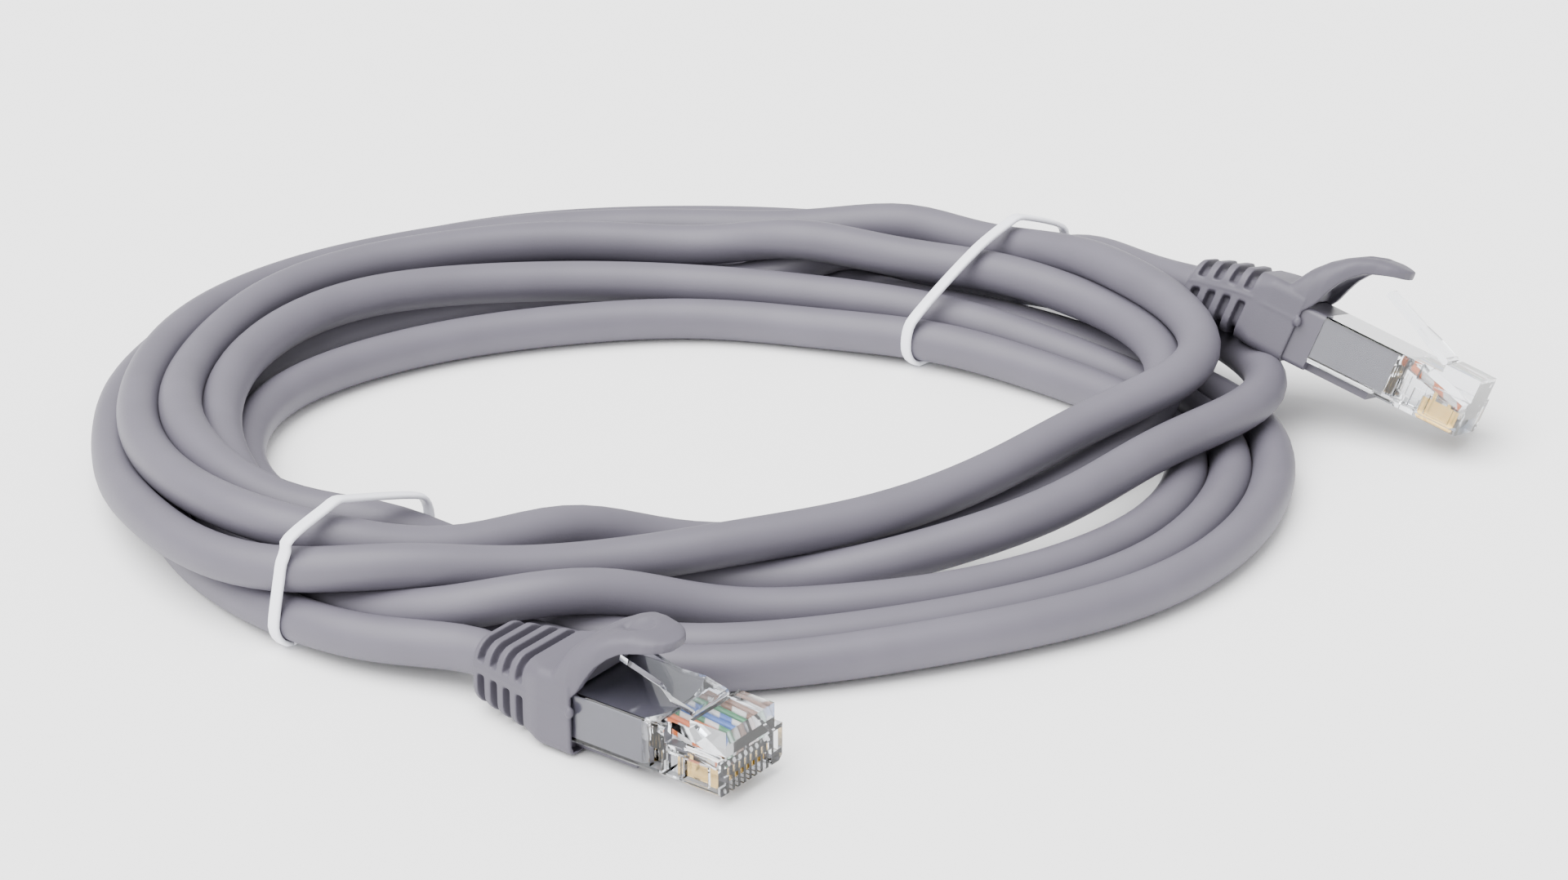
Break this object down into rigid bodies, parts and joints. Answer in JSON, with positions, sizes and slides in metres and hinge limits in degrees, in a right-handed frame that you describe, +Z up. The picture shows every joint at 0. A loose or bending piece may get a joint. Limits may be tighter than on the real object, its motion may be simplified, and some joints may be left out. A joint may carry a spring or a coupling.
{
  "type": "network patch cord",
  "caption": "Coiled grey network patch cord with clear snagless modular plugs, held in a bundle by white twist ties.",
  "frame": {"origin": "centre of the bounding box, on the surface that the coil lies on", "axes": "+X along the long side of the coil towards the plug that lies off its right end, +Y to the back, +Z up"},
  "size_m": [0.1804, 0.1624, 0.0231],
  "materials": {
    "clear_plastic": "clear polycarbonate, gloss",
    "grey_moulding": "satin PVC",
    "grey_boot": "matt PVC",
    "grey_jacket": "matt PVC",
    "gold_contacts": "gold-plated, polished",
    "tie_coating": "glossy white PVC",
    "tie_wire": "drawn iron wire",
    "wire_white_orange": "semi-gloss polyethylene",
    "wire_orange": "semi-gloss polyethylene",
    "wire_white_green": "semi-gloss polyethylene",
    "wire_blue": "semi-gloss polyethylene",
    "wire_white_blue": "semi-gloss polyethylene",
    "wire_green": "semi-gloss polyethylene",
    "wire_white_brown": "semi-gloss polyethylene",
    "wire_brown": "semi-gloss polyethylene"
  },
  "bodies": {
    "cable": {"housing_a": "clear_plastic", "mould_a": "grey_moulding", "contacts_a": "gold_contacts", "boot_a": "grey_boot", "wire_white_orange_a": "wire_white_orange", "wire_orange_a": "wire_orange", "wire_white_green_a": "wire_white_green", "wire_blue_a": "wire_blue", "wire_white_blue_a": "wire_white_blue", "wire_green_a": "wire_green", "wire_white_brown_a": "wire_white_brown", "wire_brown_a": "wire_brown", "housing_b": "clear_plastic", "mould_b": "grey_moulding", "contacts_b": "gold_contacts", "boot_b": "grey_boot", "wire_white_orange_b": "wire_white_orange", "wire_orange_b": "wire_orange", "wire_white_green_b": "wire_white_green", "wire_blue_b": "wire_blue", "wire_white_blue_b": "wire_white_blue", "wire_green_b": "wire_green", "wire_white_brown_b": "wire_white_brown", "wire_brown_b": "wire_brown", "cord_a": "grey_jacket", "cord_b": "grey_jacket", "coil": "grey_jacket", "tie_front": "tie_coating", "tie_front_wire": "tie_wire", "tie_rear": "tie_coating", "tie_rear_wire": "tie_wire"},
    "hood_a": {"hood_a": "grey_boot"},
    "latch_a": {"latch_a": "clear_plastic"},
    "hood_b": {"hood_b": "grey_boot"},
    "latch_b": {"latch_b": "clear_plastic"}
  },
  "joints": [
    {"name": "hood_a_press", "type": "hinge", "parent": "cable", "child": "hood_a", "pos_m": [-0.02401, -0.06278, 0.0111], "axis": [0.6018, 0.7986, 0], "range_deg": [0, 9], "stiffness_Nm_per_rad": 0.02},
    {"name": "latch_a_press", "type": "hinge", "parent": "cable", "child": "latch_a", "pos_m": [-0.01035, -0.07307, 0.00935], "axis": [-0.6018, -0.7986, 0], "range_deg": [0, 9.2], "stiffness_Nm_per_rad": 0.02},
    {"name": "hood_b_press", "type": "hinge", "parent": "cable", "child": "hood_b", "pos_m": [0.06666, 0.02725, 0.01802], "axis": [0.3806, 0.8622, -0.3342], "range_deg": [0, 12], "stiffness_Nm_per_rad": 0.02},
    {"name": "latch_b_press", "type": "hinge", "parent": "cable", "child": "latch_b", "pos_m": [0.08375, 0.01688, 0.01073], "axis": [-0.3806, -0.8622, 0.3342], "range_deg": [0, 12.2], "stiffness_Nm_per_rad": 0.02}
  ],
  "couplings": [
    {"joint": "latch_a_press", "follows": "hood_a_press", "ratio": 0.86},
    {"joint": "latch_b_press", "follows": "hood_b_press", "ratio": 0.86}
  ]
}
